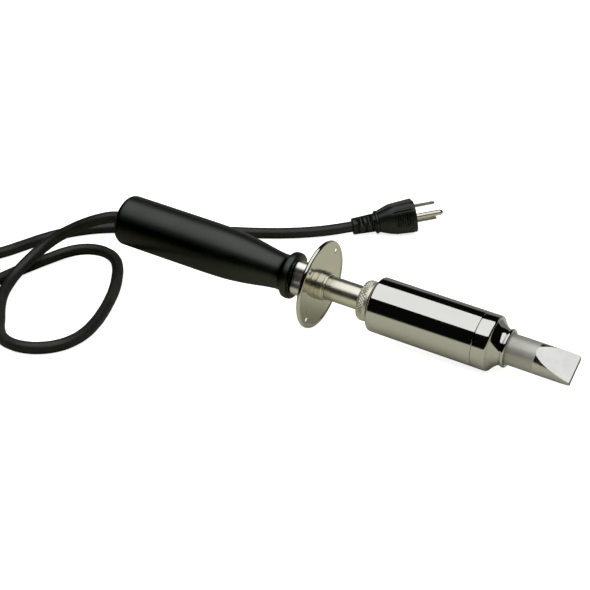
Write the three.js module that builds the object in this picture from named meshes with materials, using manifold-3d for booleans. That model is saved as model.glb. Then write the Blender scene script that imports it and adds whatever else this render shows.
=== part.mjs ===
// A heavy mains-powered electric iron: a turned wooden handle, a round heat shield on a
// bracket, a polished barrel with the heating element inside, a slide-out chisel tip, and
// a rubber cord with a three-pin plug. Millimetres, +Z up, +X towards the tip.
// The iron lies on the shield's rim and on the front edge of its barrel.
import * as THREE from 'three';
import { mergeVertices } from 'three/addons/utils/BufferGeometryUtils.js';
import Module from 'manifold-3d';

const wasm = await Module();
wasm.setup();

// ---- Driving dimensions. Stations run along the iron's axis from the shield's front face.
const GAP = 0.3; // clearance between touching pieces

const BUTT = -168; // rear end of the handle
const HANDLE_FRONT = -20.2;
const HANDLE_RADIUS = 19;
const BEAD_RADIUS = 17.3;
const NECK_RADIUS = 13.3;
const CAVITY_RADIUS = 9.3;
const CAVITY_REAR = -114;
const BUSH_SEAT = -161.5;
const BUSH_RADIUS = 8;

const SHIELD_RADIUS = 32.7;
const SHIELD_RIM_DEPTH = 3.4;
const SHIELD_SHEET = 1.1;
const SHIELD_HOLE_RADIUS = 1.6;
const SHIELD_HOLE_CIRCLE = 27.5;
const SHIELD_HOLE_ANGLES = [48, 138, 228, 318]; // degrees round the axis, from the top

const LOBE_CENTRE = 6.4;
const LOBE_RADIUS = 7.2;
const BRACKET_VALLEY = 9.9;
const COLLAR_RADIUS = 10.6;
const COLLAR_LENGTH = 6;
const TUBE_RADIUS = 8.9;
const TUBE_BORE = 7.3;
const TUBE_REAR = -17;
const TUBE_FRONT = 58;

const NUT_REAR = 34;
const NUT_FRONT = 41.6;
const NUT_RADIUS = 14.9;

const BARREL_REAR = 43.8;
const BARREL_FRONT = 135;
const BARREL_SEAM = 124;
const BARREL_RADIUS = 19.9;
const BARREL_WALL = 1.3;
const BARREL_ROUNDING = 2.2;
const BARREL_MOUTH = 16.3; // radius of the rear opening, which clears the element
const NOSE_END = 145.4;
const NOSE_RADIUS = 13.6;

const TIP_RADIUS = 11.1;
const TIP_REAR = 74;
const TIP_END = 192.4;
const CHISEL_START = 165.5;
const CHISEL_HALF_EDGE = 2;
const CHISEL_ROLL = 35.6; // degrees that the chisel's flats are turned about the axis
const CORE_RADIUS = 12.8;

const CORD_RADIUS = 4.4;
const CORD_BORE = CORD_RADIUS + 0.6;
const COIL_CENTRE = [-313, -124];
const COIL_INNER = 34.9;
const COIL_OUTER = 53.3;
const COIL_BOTTOM = 1.25;
const COIL_TOP = 19.5;

const PLUG_FACE = [-28.2, 189.3, 13.7];
const PLUG_HEADING = 39; // degrees, plan direction of the blades
const PLUG_PITCH = 7.5; // the wide front lifts the blades
const PLUG_ROLL = 12;
const PLUG_BODY_LENGTH = 30;
const RELIEF_LENGTH = 21;

// The tilt at which the shield's rim and the barrel's front edge both touch the ground.
const RIM_ROUNDING = SHIELD_RIM_DEPTH / 2;
const contactRun = BARREL_FRONT - BARREL_ROUNDING + RIM_ROUNDING;
const contactDrop = SHIELD_RADIUS - RIM_ROUNDING - (BARREL_RADIUS - BARREL_ROUNDING);
const contactSpan = Math.hypot(contactRun, contactDrop);
const REST_TILT =
  Math.atan2(contactDrop, contactRun) - Math.asin((BARREL_ROUNDING - RIM_ROUNDING) / contactSpan);
const AXIS_HEIGHT =
  (SHIELD_RADIUS - RIM_ROUNDING) * Math.cos(REST_TILT) +
  RIM_ROUNDING * (1 - Math.sin(REST_TILT));
const SHIELD_X = -11.8; // centres the iron's length on the origin

// ---- Materials
const finish = (color, roughness, metalness = 0) =>
  new THREE.MeshStandardMaterial({ color, roughness, metalness });
const lacqueredWood = finish(0x17191a, 0.42);
const nickel = finish(0xc9c6b8, 0.2, 1);
const chrome = finish(0xd6d6d2, 0.08, 1);
const zincSteel = finish(0xa8aaa8, 0.4, 1);
const platedTip = finish(0x8d8c86, 0.45, 1);
const rubber = finish(0x1a1b1c, 0.65);
const ceramic = finish(0xe6dfcf, 0.6);
const mica = finish(0xb9a27a, 0.5);
const resistanceWire = finish(0x77736c, 0.5, 1);
const copper = finish(0xb8734a, 0.35, 1);
const brass = finish(0xc9a552, 0.3, 1);

// ---- Shape helpers
const radians = THREE.MathUtils.degToRad;

// A closed mesh with shared vertices and its faces turned outwards.
function closed(geometry) {
  const bare = geometry.index ? geometry.toNonIndexed() : geometry.clone();
  bare.deleteAttribute('normal');
  bare.deleteAttribute('uv');
  return mergeVertices(bare, 1e-3);
}

function toSolid(geometry) {
  const merged = closed(geometry);
  const mesh = new wasm.Mesh({
    numProp: 3,
    vertProperties: merged.attributes.position.array,
    triVerts: new Uint32Array(merged.index.array),
  });
  return new wasm.Manifold(mesh);
}

function fromSolid(solid) {
  const mesh = solid.getMesh();
  const geometry = new THREE.BufferGeometry();
  geometry.setAttribute('position', new THREE.BufferAttribute(mesh.vertProperties, 3));
  geometry.setIndex(new THREE.BufferAttribute(mesh.triVerts, 1));
  const faceted = geometry.toNonIndexed();
  faceted.computeVertexNormals();
  return faceted;
}

function cut(geometry, ...cutters) {
  let solid = toSolid(geometry);
  for (const cutter of cutters) solid = solid.subtract(toSolid(cutter));
  return fromSolid(solid);
}

function join(geometry, ...others) {
  let solid = toSolid(geometry);
  for (const other of others) solid = solid.add(toSolid(other));
  return fromSolid(solid);
}

// Turns a profile of [station, radius] pairs about the X axis. A profile runs from rear to
// front along the outside and, for a hollow piece, back along the inside to where it began.
function turned(profile, segments = 32) {
  const points = profile.map(([station, radius]) => new THREE.Vector2(radius, station));
  const geometry = new THREE.LatheGeometry(points, segments);
  return geometry.rotateZ(-Math.PI / 2);
}

const rod = (rear, front, radius, segments) =>
  turned([[rear, 0], [rear, radius], [front, radius], [front, 0]], segments);

const ring = (rear, front, outer, inner, segments) =>
  turned(
    [[rear, inner], [rear, outer], [front, outer], [front, inner], [rear, inner]],
    segments,
  );

// [station, radius] points of a round corner, from one angle to another in degrees,
// measured from the forward direction towards the outside.
function corner(station, radius, rounding, from, to, steps = 4) {
  return Array.from({ length: steps + 1 }, (_, i) => {
    const angle = radians(from + ((to - from) * i) / steps);
    return [station + rounding * Math.cos(angle), radius + rounding * Math.sin(angle)];
  });
}

const box = (x, y, z, sizeX, sizeY, sizeZ) =>
  new THREE.BoxGeometry(sizeX, sizeY, sizeZ).translate(x, y, z);

const roundSection = (radius, sides) =>
  new THREE.Shape(
    Array.from({ length: sides }, (_, i) => {
      const angle = (2 * Math.PI * i) / sides;
      return new THREE.Vector2(radius * Math.cos(angle), radius * Math.sin(angle));
    }),
  );

// A round tube that follows a list of points.
function tubeAlong(points, radius, sides, steps) {
  const route = new THREE.CatmullRomCurve3(points.map((p) => new THREE.Vector3(...p)), false, 'centripetal');
  return new THREE.ExtrudeGeometry(roundSection(radius, sides), { steps, extrudePath: route });
}

const piece = (name, geometry, material) => {
  const mesh = new THREE.Mesh(geometry, material);
  mesh.name = name;
  return mesh;
};

const model = new THREE.Group();
const iron = new THREE.Group();
iron.position.set(SHIELD_X, 0, AXIS_HEIGHT);
iron.rotation.y = REST_TILT;
model.add(iron);

// ---- Handle: one turned piece, with a stepped bore for the cord and the wiring
const handleProfile = [
  [BUTT, BUSH_RADIUS + GAP],
  ...corner(BUTT + 5, HANDLE_RADIUS - 5, 5, 180, 90, 4),
  [-92, HANDLE_RADIUS],
  [-78, 18.7],
  [-67, 17.9],
  [-54, 16.3],
  [-44, 14.6],
  [-36, 13.5],
  [-32, NECK_RADIUS],
  [-29, 13.9],
  [-27.1, 15.6],
  [-26.1, 16.7],
  [-24.9, 17.1],
  [-22.9, BEAD_RADIUS],
  [-21.2, 16.9],
  [HANDLE_FRONT, 15.6],
  [HANDLE_FRONT, CAVITY_RADIUS],
  [CAVITY_REAR, CAVITY_RADIUS],
  [CAVITY_REAR, CORD_BORE],
  [BUSH_SEAT, CORD_BORE],
  [BUSH_SEAT, BUSH_RADIUS + GAP],
  [BUTT, BUSH_RADIUS + GAP],
];
iron.add(piece('handle', turned(handleProfile, 44), lacqueredWood));
iron.add(
  piece('cord_bush', ring(BUTT - 0.5, BUSH_SEAT - GAP, BUSH_RADIUS, CORD_BORE, 32), rubber),
);

// ---- Wiring inside the handle
iron.add(piece('cord_tail', rod(-157, -96.5, CORD_RADIUS, 16), rubber));
iron.add(piece('cord_clamp', ring(-111, -103, 8.6, CORD_RADIUS + GAP, 24), zincSteel));

const BLOCK_REAR = -88;
const BLOCK_FRONT = -70;
const blockScrewStations = [-84, -74];
const blockTop = 5;
iron.add(
  piece(
    'terminal_block',
    cut(
      rod(BLOCK_REAR, BLOCK_FRONT, 8.4, 24),
      box(-79, 0, blockTop + 5, 30, 20, 10),
      ...blockScrewStations.map((s) =>
        new THREE.CylinderGeometry(1.8, 1.8, 6, 12).rotateX(Math.PI / 2).translate(s, 0, blockTop),
      ),
    ),
    ceramic,
  ),
);
blockScrewStations.forEach((station, i) => {
  const head = new THREE.CylinderGeometry(2.6, 2.6, 1.4, 16).rotateX(Math.PI / 2);
  const shank = new THREE.CylinderGeometry(1.5, 1.5, 3.5, 12).rotateX(Math.PI / 2);
  const slot = box(0, 0, 0.8, 6, 0.7, 1);
  const screw = cut(join(head, shank.translate(0, 0, -1.6)), slot);
  screw.translate(station, 0, blockTop + GAP + 0.7);
  iron.add(piece(`terminal_screw_${i + 1}`, screw, brass));
});

const LEAD_REAR = BLOCK_FRONT + GAP;
const LEAD_FRONT = 60;
const LEAD_RADIUS = 1.2;
const LEAD_SPREAD = 3.4;
['lead_live', 'lead_neutral'].forEach((name, i) => {
  const lead = rod(LEAD_REAR, LEAD_FRONT, LEAD_RADIUS, 10);
  lead.translate(0, i === 0 ? LEAD_SPREAD : -LEAD_SPREAD, 0);
  iron.add(piece(name, lead, mica));
});
iron.add(
  piece('lead_ground', rod(LEAD_REAR, TUBE_REAR + 20, LEAD_RADIUS, 10).translate(0, 0, -4), copper),
);

// ---- Bracket between the handle and the shield: a three-lobed collar, a screw in each lobe
const BRACKET_REAR = HANDLE_FRONT + GAP;
const BRACKET_FRONT = -SHIELD_SHEET - GAP;
const LOBE_ANGLES = [7, 127, 247];

function bracketRadius(degrees) {
  const nearest = Math.min(...LOBE_ANGLES.map((a) => Math.abs(((degrees - a + 540) % 360) - 180)));
  const aside = LOBE_CENTRE * Math.sin(radians(nearest));
  const lobe = LOBE_CENTRE * Math.cos(radians(nearest)) + Math.sqrt(LOBE_RADIUS ** 2 - aside ** 2);
  return Math.max(lobe, BRACKET_VALLEY);
}

const bracketOutline = new THREE.Shape(
  Array.from({ length: 72 }, (_, i) => {
    const angle = radians(5 * i);
    const radius = bracketRadius(5 * i);
    return new THREE.Vector2(-radius * Math.sin(angle), radius * Math.cos(angle));
  }),
);
const bracketBlank = new THREE.ExtrudeGeometry(bracketOutline, {
  depth: BRACKET_FRONT - BRACKET_REAR,
  bevelEnabled: false,
});
// Stands the outline's own x and y on the iron's y and z, and its depth on the axis.
const acrossAxis = new THREE.Matrix4().makeBasis(
  new THREE.Vector3(0, 1, 0),
  new THREE.Vector3(0, 0, 1),
  new THREE.Vector3(1, 0, 0),
);
bracketBlank.applyMatrix4(acrossAxis).translate(BRACKET_REAR, 0, 0);

const SCREW_CIRCLE = 11.3;
const SCREW_SHANK = 0.85;
const SCREW_HEAD = 1.4;
const SEAT = BRACKET_FRONT - 4;
const atLobe = (geometry, angle) => geometry.translate(0, 0, SCREW_CIRCLE).rotateX(radians(angle));
const screwSeats = LOBE_ANGLES.flatMap((angle) => [
  atLobe(rod(BRACKET_REAR - 1, BRACKET_FRONT + 1, SCREW_SHANK + 0.35, 12), angle),
  atLobe(rod(SEAT, BRACKET_FRONT + 1, SCREW_HEAD + GAP, 12), angle),
]);
const bracketBore = rod(BRACKET_REAR - 1, BRACKET_FRONT + 1, TUBE_RADIUS + GAP, 32);
iron.add(piece('handle_bracket', cut(bracketBlank, bracketBore, ...screwSeats), nickel));
LOBE_ANGLES.forEach((angle, i) => {
  const profile = [
    [BRACKET_REAR, 0],
    [BRACKET_REAR, SCREW_SHANK],
    [SEAT + GAP, SCREW_SHANK],
    [SEAT + GAP, SCREW_HEAD],
    [SEAT + 1.4, SCREW_HEAD - 0.4],
    [SEAT + 1.4, 0],
  ];
  iron.add(piece(`bracket_screw_${i + 1}`, atLobe(turned(profile, 12), angle), zincSteel));
});

// ---- Heat shield: a flat disc with a rolled rim and three small holes
const rimCentre = -RIM_ROUNDING;
const rimInside = SHIELD_RADIUS - SHIELD_RIM_DEPTH;
const shieldProfile = [
  [-SHIELD_SHEET, TUBE_RADIUS + GAP],
  [-SHIELD_SHEET, rimInside],
  ...corner(rimCentre, SHIELD_RADIUS - RIM_ROUNDING, RIM_ROUNDING, 210, 0, 7),
  [0, TUBE_RADIUS + GAP],
  [-SHIELD_SHEET, TUBE_RADIUS + GAP],
];
const shieldHoles = SHIELD_HOLE_ANGLES.map((angle) =>
  rod(-4, 2, SHIELD_HOLE_RADIUS, 12).translate(0, 0, SHIELD_HOLE_CIRCLE).rotateX(radians(angle)),
);
iron.add(piece('heat_shield', cut(turned(shieldProfile, 56), ...shieldHoles), nickel));

iron.add(
  piece(
    'shield_collar',
    turned([
      [GAP, TUBE_RADIUS + GAP],
      [GAP, COLLAR_RADIUS],
      [COLLAR_LENGTH - 2.2, COLLAR_RADIUS],
      [COLLAR_LENGTH - 1.6, COLLAR_RADIUS - 0.5],
      [COLLAR_LENGTH, COLLAR_RADIUS - 0.5],
      [COLLAR_LENGTH, TUBE_RADIUS + GAP],
      [GAP, TUBE_RADIUS + GAP],
    ]),
    nickel,
  ),
);
iron.add(piece('neck_tube', ring(TUBE_REAR, TUBE_FRONT, TUBE_RADIUS, TUBE_BORE), nickel));

// ---- Ring nut and the washer that it presses on the barrel
const nutProfile = [
  [NUT_REAR, TUBE_RADIUS + GAP],
  [NUT_REAR, NUT_RADIUS - 0.8],
  [NUT_REAR + 0.8, NUT_RADIUS],
  [NUT_FRONT - 2, NUT_RADIUS],
  [NUT_FRONT - 1.6, NUT_RADIUS - 0.6],
  [NUT_FRONT, NUT_RADIUS - 0.6],
  [NUT_FRONT, TUBE_RADIUS + GAP],
  [NUT_REAR, TUBE_RADIUS + GAP],
];
iron.add(piece('ring_nut', turned(nutProfile), nickel));
const SPIGOT_REAR = 43.6;
iron.add(
  piece('ring_washer', ring(NUT_FRONT + GAP, SPIGOT_REAR - GAP, 13.6, TUBE_RADIUS + GAP), zincSteel),
);
iron.add(
  piece('barrel_spigot', ring(SPIGOT_REAR, 50, BARREL_MOUTH - GAP, TUBE_RADIUS + GAP), zincSteel),
);

// ---- Barrel: rear shell, then the nose cap that carries the tip's set screw
const barrelInside = BARREL_RADIUS - BARREL_WALL;
const shellProfile = [
  [BARREL_REAR, BARREL_MOUTH],
  ...corner(BARREL_REAR + BARREL_ROUNDING, BARREL_RADIUS - BARREL_ROUNDING, BARREL_ROUNDING, 180, 90),
  [BARREL_SEAM - GAP / 2, BARREL_RADIUS],
  [BARREL_SEAM - GAP / 2, barrelInside],
  [BARREL_REAR + 3.4, barrelInside],
  [BARREL_REAR + 1.6, BARREL_MOUTH],
  [BARREL_REAR, BARREL_MOUTH],
];
iron.add(piece('barrel_shell', turned(shellProfile, 44), chrome));

const noseBore = TIP_RADIUS + GAP;
const SCREW_STATION = 139;
const TIP_SCREW_ANGLE = 210; // degrees round the axis from the top, on the far lower side
const TIP_SCREW_RADIUS = 2;
const noseProfile = [
  [BARREL_SEAM + GAP / 2, barrelInside],
  [BARREL_SEAM + GAP / 2, BARREL_RADIUS],
  ...corner(BARREL_FRONT - BARREL_ROUNDING, BARREL_RADIUS - BARREL_ROUNDING, BARREL_ROUNDING, 90, 20),
  [136.8, 17],
  [139, 14.9],
  [141.4, NOSE_RADIUS - 0.6],
  ...corner(NOSE_END - 1.4, NOSE_RADIUS - 1.2, 1.4, 120, 0, 5),
  [NOSE_END - 1.4, noseBore],
  [133, noseBore],
  [131, barrelInside],
  [BARREL_SEAM + GAP / 2, barrelInside],
];
const radialRod = (station, inner, outer, radius, angle, segments = 12) =>
  new THREE.CylinderGeometry(radius, radius, outer - inner, segments)
    .rotateX(Math.PI / 2)
    .translate(station, 0, (inner + outer) / 2)
    .rotateX(radians(angle));
const screwHole = radialRod(SCREW_STATION, 9, 20, TIP_SCREW_RADIUS + GAP, TIP_SCREW_ANGLE, 16);
iron.add(piece('nose_cap', cut(turned(noseProfile, 44), screwHole), chrome));

const tipScrew = cut(
  radialRod(SCREW_STATION, TIP_RADIUS + GAP, 15, TIP_SCREW_RADIUS, TIP_SCREW_ANGLE, 16),
  box(SCREW_STATION, 0, 15, 5, 0.7, 1.6).rotateX(radians(TIP_SCREW_ANGLE)),
);
iron.add(piece('tip_screw', tipScrew, zincSteel));

// ---- Heating element inside the barrel
const ELEMENT_REAR = 72;
const ELEMENT_FRONT = 122;
const INSULATOR_RADIUS = BARREL_MOUTH - 0.5;
iron.add(piece('core_tube', ring(66, 130.5, CORE_RADIUS, TIP_RADIUS + GAP), zincSteel));
iron.add(
  piece('element_winding', ring(ELEMENT_REAR, ELEMENT_FRONT, 14.6, CORE_RADIUS + GAP), resistanceWire),
);
iron.add(piece('mica_sleeve', ring(ELEMENT_REAR - 1, ELEMENT_FRONT + 1, 15.6, 14.9), mica));
iron.add(piece('rear_insulator', ring(60.5, 65.5, INSULATOR_RADIUS, 5), ceramic));
iron.add(piece('front_insulator', ring(124.5, 130, INSULATOR_RADIUS, CORE_RADIUS + GAP), ceramic));

// ---- Tip: a round shank with two flats that meet in a blunt chisel edge
const flatLength = TIP_END - CHISEL_START;
const flatSlope = Math.atan2(TIP_RADIUS - CHISEL_HALF_EDGE, flatLength);
const chiselCutters = [0, 180].map((side) =>
  new THREE.BoxGeometry(80, 40, 20)
    .translate(40, 0, 10)
    .rotateY(flatSlope)
    .translate(CHISEL_START, 0, TIP_RADIUS)
    .rotateX(radians(side + CHISEL_ROLL)),
);
const tipBlank = turned([
  [TIP_REAR, 0],
  [TIP_REAR, TIP_RADIUS - 1],
  [TIP_REAR + 1, TIP_RADIUS],
  [TIP_END - 0.8, TIP_RADIUS],
  [TIP_END, TIP_RADIUS - 0.8],
  [TIP_END, 0],
]);
iron.add(piece('tip', cut(tipBlank, ...chiselCutters), platedTip));

// ---- Cord: from the butt round a loose loop to the coil, and from the coil to the plug
const handleRun = [
  [-173, 0, 47.7],
  [-179.1, 0, 48.3],
  [-188, -1.2, 48.2],
  [-198.5, -5, 45.7],
  [-210, -9.2, 41],
  [-221, -12.8, 35],
  [-230.2, -16.8, 29],
  [-237.2, -22.6, 23],
  [-242, -31, 17.4],
  [-244.6, -41.5, 12.4],
  [-244.8, -53, 8.6],
  [-242.2, -65.5, 6],
  [-237, -78.5, 4.8],
  [-227.6, -94.2, 4.5],
  [-214.3, -112, 4.5],
  [-202, -127.8, 4.5],
  [-192.5, -136, 4.5],
  [-181.6, -139.8, 4.5],
  [-170.2, -139.2, 4.5],
  [-159.9, -134.3, 4.5],
  [-152.1, -125.8, 4.5],
  [-148, -115, 4.5],
  [-147.2, -102, 4.5],
  [-150, -85, 4.5],
  [-155.2, -67.5, 4.5],
  [-162, -49.5, 4.5],
  [-170.3, -31, 4.5],
  [-180.3, -13, 4.6],
  [-189.5, 1.1, 5.4],
  [-197.6, 9.5, 6.8],
  [-208.2, 14.4, 7.7],
  [-219.8, 14.8, 7.9],
  [-230.8, 10.6, 7.2],
  [-239.2, 2.6, 5.9],
  [-244.4, -8, 4.9],
  [-248.8, -23, 4.5],
  [-252.2, -39.5, 4.5],
  [-255, -57, 4.5],
  [-258.4, -75.5, 4.7],
  [-262.5, -94.5, 5.1],
];
const plugRun = [
  [-369.5, -109.3, 6.9],
  [-365.5, -95, 5.4],
  [-357.6, -81.5, 4.6],
  [-345, -69.5, 4.5],
  [-328, -59, 4.5],
  [-309, -48.5, 4.5],
  [-293.5, -35.5, 4.5],
  [-284, -18.5, 4.5],
  [-278, 0, 4.5],
  [-272.8, 17, 4.5],
  [-266.3, 32, 4.5],
  [-256.9, 46.3, 4.5],
  [-244.3, 58.8, 4.5],
  [-227, 69.5, 4.5],
  [-208, 78.8, 4.5],
  [-188.5, 87.7, 4.5],
  [-169, 95.7, 4.5],
  [-150, 103.9, 4.5],
  [-129.3, 113.4, 4.5],
  [-109, 125, 4.5],
  [-91, 137.7, 4.9],
  [-79, 147.6, 5.7],
  [-67.8, 157.3, 7],
];
const CORD_SIDES = 10;
model.add(piece('cord_handle_run', tubeAlong(handleRun, CORD_RADIUS, CORD_SIDES, 40), rubber));
model.add(piece('cord_plug_run', tubeAlong(plugRun, CORD_RADIUS, CORD_SIDES, 28), rubber));

const coilProfile = [
  [COIL_INNER, COIL_BOTTOM],
  [COIL_OUTER, COIL_BOTTOM],
  [COIL_OUTER, COIL_TOP],
  [COIL_INNER, COIL_TOP],
  [COIL_INNER, COIL_BOTTOM],
].map(([radius, height]) => new THREE.Vector2(radius, height));
const coil = new THREE.LatheGeometry(coilProfile, 40).rotateX(Math.PI / 2);
const coilMiddle = (COIL_BOTTOM + COIL_TOP) / 2;
const coilMesh = piece('cord_coil', coil, rubber);
coilMesh.position.set(...COIL_CENTRE, 0);
model.add(coilMesh);

const TIE_THICKNESS = 0.9;
const TIE_WIDTH = 7;
const bundleWide = COIL_OUTER - COIL_INNER + 2 * GAP + 0.5;
const bundleHigh = COIL_TOP - COIL_BOTTOM + 2 * GAP;
const tie = cut(
  box(0, 0, 0, TIE_WIDTH, bundleWide + 2 * TIE_THICKNESS, bundleHigh + 2 * TIE_THICKNESS),
  box(0, 0, 0, TIE_WIDTH + 2, bundleWide, bundleHigh),
);
const tieMesh = piece('cord_tie', tie, rubber);
tieMesh.position.set(
  COIL_CENTRE[0],
  COIL_CENTRE[1] - (COIL_INNER + COIL_OUTER) / 2 + 0.1,
  coilMiddle,
);
model.add(tieMesh);

// ---- Plug: a moulded body on a ribbed strain relief, two blades and a ground pin.
// Its group's X axis runs from the cord to the blades, which stand one above the other.
const plug = new THREE.Group();
plug.position.set(...PLUG_FACE);
plug.rotation.set(-radians(PLUG_ROLL), -radians(PLUG_PITCH), radians(PLUG_HEADING), 'ZYX');
model.add(plug);

// A flat-topped oval that is wide across Z and deeper towards the ground pin, at -Y.
function plugSection(halfWidth, blades, ground) {
  const section = new THREE.Shape();
  const cornerRadius = Math.min(halfWidth, blades + ground) * 0.42;
  section.moveTo(blades, -halfWidth + cornerRadius);
  section.lineTo(blades, halfWidth - cornerRadius);
  section.quadraticCurveTo(blades, halfWidth, blades - cornerRadius, halfWidth);
  section.lineTo(-ground * 0.35, halfWidth);
  section.quadraticCurveTo(-ground, halfWidth * 0.9, -ground, 0);
  section.quadraticCurveTo(-ground, -halfWidth * 0.9, -ground * 0.35, -halfWidth);
  section.lineTo(blades - cornerRadius, -halfWidth);
  section.quadraticCurveTo(blades, -halfWidth, blades, -halfWidth + cornerRadius);
  return section;
}

// The body flares quickly from the strain relief, then widens slowly to its front face.
const FLARE_END = 0.35;
const flare = (along) =>
  along < FLARE_END ? 0.62 + 0.8 * along : 1 - 0.154 * (1 - along);
const plugBlank = new THREE.ExtrudeGeometry(plugSection(12.9, 11.5, 14.5), {
  depth: PLUG_BODY_LENGTH,
  steps: 20,
  curveSegments: 5,
  bevelEnabled: false,
});
const corners = plugBlank.getAttribute('position');
for (let i = 0; i < corners.count; i += 1) {
  const swell = flare(corners.getZ(i) / PLUG_BODY_LENGTH);
  corners.setX(i, corners.getX(i) * swell);
  corners.setY(i, corners.getY(i) * swell);
}
plugBlank.applyMatrix4(acrossAxis);
plugBlank.translate(-PLUG_BODY_LENGTH, 0, 0);
plug.add(piece('plug_body', fromSolid(toSolid(plugBlank)), rubber));

const reliefRear = -PLUG_BODY_LENGTH - RELIEF_LENGTH;
const reliefFront = -PLUG_BODY_LENGTH - GAP;
const reliefProfile = [
  [reliefRear, 0],
  [reliefRear, 6.3],
  [reliefRear + 0.6, 6.8],
  [reliefFront - 2, 7.6],
  [reliefFront - 2, 9.4],
  [reliefFront, 9.4],
  [reliefFront, 0],
];
plug.add(piece('plug_strain_relief', turned(reliefProfile, 24), rubber));

const BLADE_LENGTH = 19;
const BLADE_SPREAD = 6.35;
const BLADE_THICKNESS = 1.5;
const BLADE_WIDTH = 6.35;
const BLADE_OFFSET = 4.5;
const GROUND_OFFSET = -7.4;
[1, -1].forEach((side, i) => {
  const blade = box(
    GAP + BLADE_LENGTH / 2,
    BLADE_OFFSET,
    side * BLADE_SPREAD,
    BLADE_LENGTH,
    BLADE_WIDTH,
    BLADE_THICKNESS,
  );
  plug.add(piece(`plug_blade_${i + 1}`, blade, brass));
});
const groundPin = turned(
  [[GAP, 0], [GAP, 2.38], [20.6, 2.38], [22.4, 1.6], [23, 0]],
  20,
).translate(0, GROUND_OFFSET, 0);
plug.add(piece('plug_ground_pin', groundPin, brass));

export default model;
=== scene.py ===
"""The looks of a heavy mains-powered electric iron: lacquered handle, nickel shield and
neck, polished barrel, chisel tip with a tinned flat, rubber cord with a three-pin plug.
Lengths named in millimetres are turned into metres as each mesh is made."""
import math

import bmesh
import bpy
from mathutils import Matrix, Vector


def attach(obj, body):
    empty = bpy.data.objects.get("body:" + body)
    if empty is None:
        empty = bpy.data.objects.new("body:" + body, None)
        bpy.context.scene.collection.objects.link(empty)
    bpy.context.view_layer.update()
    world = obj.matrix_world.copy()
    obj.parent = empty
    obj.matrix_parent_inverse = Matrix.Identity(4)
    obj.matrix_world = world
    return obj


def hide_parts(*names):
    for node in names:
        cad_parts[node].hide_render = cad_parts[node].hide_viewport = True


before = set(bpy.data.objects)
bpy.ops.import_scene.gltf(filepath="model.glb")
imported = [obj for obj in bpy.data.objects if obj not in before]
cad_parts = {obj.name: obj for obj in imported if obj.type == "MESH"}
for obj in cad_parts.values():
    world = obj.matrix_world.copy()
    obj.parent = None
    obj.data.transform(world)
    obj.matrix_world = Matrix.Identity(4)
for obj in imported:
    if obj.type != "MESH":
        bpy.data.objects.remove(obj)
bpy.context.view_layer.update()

MM = 0.001
GAP = 0.3

# ---- Driving dimensions, as in the frame. Stations run from the shield's front face.
BUTT = -168
HANDLE_FRONT = -20.2
HANDLE_RADIUS = 19
CAVITY_RADIUS = 9.3
CAVITY_REAR = -114
BUSH_SEAT = -161.5
BUSH_RADIUS = 8
SHIELD_RADIUS = 32.7
RIM_ROUNDING = 1.7
SHIELD_SHEET = 1.1
SHIELD_HOLE_RADIUS = 1.6
SHIELD_HOLE_CIRCLE = 27.5
SHIELD_HOLE_ANGLES = (48, 138, 228, 318)
LOBE_CENTRE = 6.4
LOBE_RADIUS = 7.2
LOBE_ANGLES = (7, 127, 247)
BRACKET_VALLEY = 9.9
TUBE_RADIUS = 8.9
TUBE_BORE = 7.3
TUBE_REAR = -17
TUBE_FRONT = 58
COLLAR_RADIUS = 10.6
COLLAR_FRONT = 6
NUT_REAR = 34
NUT_FRONT = 41.6
NUT_RADIUS = 14.9
BARREL_REAR = 43.8
BARREL_MOUTH = 16.3
BARREL_SEAM = 124
SPIGOT_REAR = 43.6
SPIGOT_FRONT = 50
CORE_REAR = 66
CORE_FRONT = 130.5
CORE_RADIUS = 12.8
INSULATOR_RADIUS = 15.8
BARREL_FRONT = 135
BARREL_RADIUS = 19.9
BARREL_WALL = 1.3
BARREL_ROUNDING = 2.2
SEAM_HALF_GAP = 0.03  # the shell and the nose cap all but meet
SEAM_FILLET = 0.5
NOSE_END = 145.4
NOSE_RADIUS = 13.6
TIP_RADIUS = 11.1
TIP_REAR = 74
TIP_END = 192.4
CHISEL_START = 165.5
CHISEL_HALF_EDGE = 2
CHISEL_ROLL = 35.6
SCREW_STATION = 139
TIP_SCREW_ANGLE = 210
CORD_RADIUS = 4.4

contact_run = BARREL_FRONT - BARREL_ROUNDING + RIM_ROUNDING
contact_drop = SHIELD_RADIUS - RIM_ROUNDING - (BARREL_RADIUS - BARREL_ROUNDING)
contact_span = math.hypot(contact_run, contact_drop)
REST_TILT = math.atan2(contact_drop, contact_run) - math.asin(
    (BARREL_ROUNDING - RIM_ROUNDING) / contact_span
)
AXIS_HEIGHT = (SHIELD_RADIUS - RIM_ROUNDING) * math.cos(REST_TILT) + RIM_ROUNDING * (
    1 - math.sin(REST_TILT)
)
SHIELD_X = -11.8
IRON = Matrix.Translation((SHIELD_X, 0, AXIS_HEIGHT)) @ Matrix.Rotation(REST_TILT, 4, "Y")

PLUG_FACE = (-28.2, 189.3, 13.7)
PLUG = (
    Matrix.Translation(PLUG_FACE)
    @ Matrix.Rotation(math.radians(39), 4, "Z")
    @ Matrix.Rotation(-math.radians(7.5), 4, "Y")
    @ Matrix.Rotation(-math.radians(12), 4, "X")
)


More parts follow.
